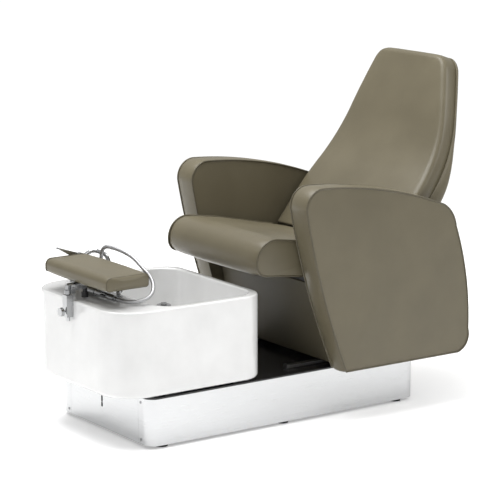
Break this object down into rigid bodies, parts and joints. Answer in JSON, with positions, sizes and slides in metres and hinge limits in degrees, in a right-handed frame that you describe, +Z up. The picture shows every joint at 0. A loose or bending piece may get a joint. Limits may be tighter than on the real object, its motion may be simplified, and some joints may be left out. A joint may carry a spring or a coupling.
{
  "type": "pedicure spa chair",
  "caption": "Padded reclining salon chair on a long plinth with a foot-bath tub, a mixer with a hand shower and an adjustable padded footrest in front.",
  "frame": {"origin": "on the floor, below the middle of the overall bounding box", "axes": "+Z up, -Y towards the foot-bath end where the sitter faces, +X to the sitter's left"},
  "size_m": [0.708, 1.3622, 1.0696],
  "materials": {
    "polished_steel": "finely brushed stainless sheet",
    "black_plate": "satin black",
    "chassis_paint": "satin dark grey powder coat",
    "rubber": "matte",
    "zinc": "satin",
    "tub_white": "high gloss",
    "chrome": "polished",
    "white_plastic": "satin",
    "grey_pipe": "matte",
    "black_plastic": "satin",
    "leather": "semi-gloss taupe upholstery leather",
    "board": "plywood stained black"
  },
  "bodies": {
    "base": {"skirt_side_left": "polished_steel", "skirt_side_right": "polished_steel", "skirt_front_plate": "polished_steel", "skirt_rear_plate": "polished_steel", "levelling_feet": "rubber", "chassis_side_beams": "chassis_paint", "chassis_cross_beams": "chassis_paint", "skirt_screws": "zinc", "top_plate": "black_plate", "slide_rails": "zinc", "slide_drive": "zinc", "control_box": "black_plastic", "mains_inlet": "black_plastic", "tub_shell": "tub_white", "tub_rubber_pads": "rubber", "waste_fitting": "chrome", "waste_trap": "white_plastic", "waste_pipe": "grey_pipe", "mixer_body": "chrome", "mixer_cartridge": "white_plastic", "mixer_spout": "chrome", "supply_pipes": "grey_pipe", "hose_outlet": "chrome", "hand_shower": "chrome", "shower_hose": "chrome", "footrest_clamp": "chrome"},
    "seat_carriage": {"slide_blocks": "black_plastic", "seat_frame_plates": "chassis_paint", "seat_frame_crossbars": "chassis_paint", "slide_drive_rod": "zinc", "arm_left": "leather", "arm_right": "leather", "kick_panel": "leather", "rear_panel": "leather", "seat_board": "board", "seat_cushion": "leather", "recline_pins": "zinc", "recline_drive": "zinc"},
    "backrest": {"back_cushion": "leather", "back_board": "board", "back_shell": "leather", "back_lower_cover": "leather", "back_hinge_arms": "chassis_paint", "back_torque_tube": "chassis_paint", "recline_crank": "chassis_paint"},
    "recline_ram": {"recline_rod": "zinc"},
    "footrest_stem": {"footrest_post": "chrome", "footrest_head": "zinc", "tilt_pin": "zinc", "tilt_bushes": "black_plastic"},
    "footrest_pad": {"footrest_bracket": "chrome", "footrest_board": "board", "footrest_cushion": "leather"},
    "tilt_lock_knob": {"footrest_lock_knob": "black_plastic"},
    "clamp_screw": {"clamp_thumb_screw": "chrome"},
    "mixer_handle": {"mixer_hub": "chrome"},
    "mixer_lever_arm": {"mixer_lever": "chrome"},
    "waste_plug": {"standpipe": "white_plastic", "standpipe_cap": "chrome"}
  },
  "joints": [
    {"name": "seat_slide", "type": "slide", "parent": "base", "child": "seat_carriage", "axis": [0, 1, 0], "range_m": [-0.08, 0.05]},
    {"name": "back_recline", "type": "hinge", "parent": "seat_carriage", "child": "backrest", "pos_m": [0, 0.3054, 0.43], "axis": [-1, 0, 0], "range_deg": [0, 20]},
    {"name": "recline_ram_slide", "type": "slide", "parent": "seat_carriage", "child": "recline_ram", "axis": [0, 1, 0], "range_m": [-0.0245, 0.0005]},
    {"name": "footrest_lift", "type": "slide", "parent": "base", "child": "footrest_stem", "axis": [0, 0, 1], "range_m": [0, 0.06]},
    {"name": "footrest_tilt", "type": "hinge", "parent": "footrest_stem", "child": "footrest_pad", "pos_m": [0, -0.6406, 0.455], "axis": [1, 0, 0], "range_deg": [0, 25]},
    {"name": "tilt_knob_turn", "type": "hinge", "parent": "footrest_pad", "child": "tilt_lock_knob", "pos_m": [0, -0.5946, 0.44], "axis": [0, 0, 1], "range_deg": [-180, 180]},
    {"name": "clamp_screw_turn", "type": "hinge", "parent": "base", "child": "clamp_screw", "pos_m": [0, -0.6746, 0.385], "axis": [0, 1, 0], "range_deg": [-180, 180]},
    {"name": "mixer_turn", "type": "hinge", "parent": "base", "child": "mixer_handle", "pos_m": [-0.213, -0.4946, 0.49], "axis": [0, 0, 1], "range_deg": [-60, 0]},
    {"name": "lever_lift", "type": "hinge", "parent": "mixer_handle", "child": "mixer_lever_arm", "pos_m": [-0.213, -0.4946, 0.497], "axis": [-1, 0, 0], "range_deg": [0, 22]},
    {"name": "plug_lift", "type": "slide", "parent": "base", "child": "waste_plug", "axis": [0, 0, 1], "range_m": [0, 0.06]}
  ],
  "couplings": [
    {"joint": "recline_ram_slide", "follows": "back_recline", "m_per_rad": -0.0696}
  ]
}
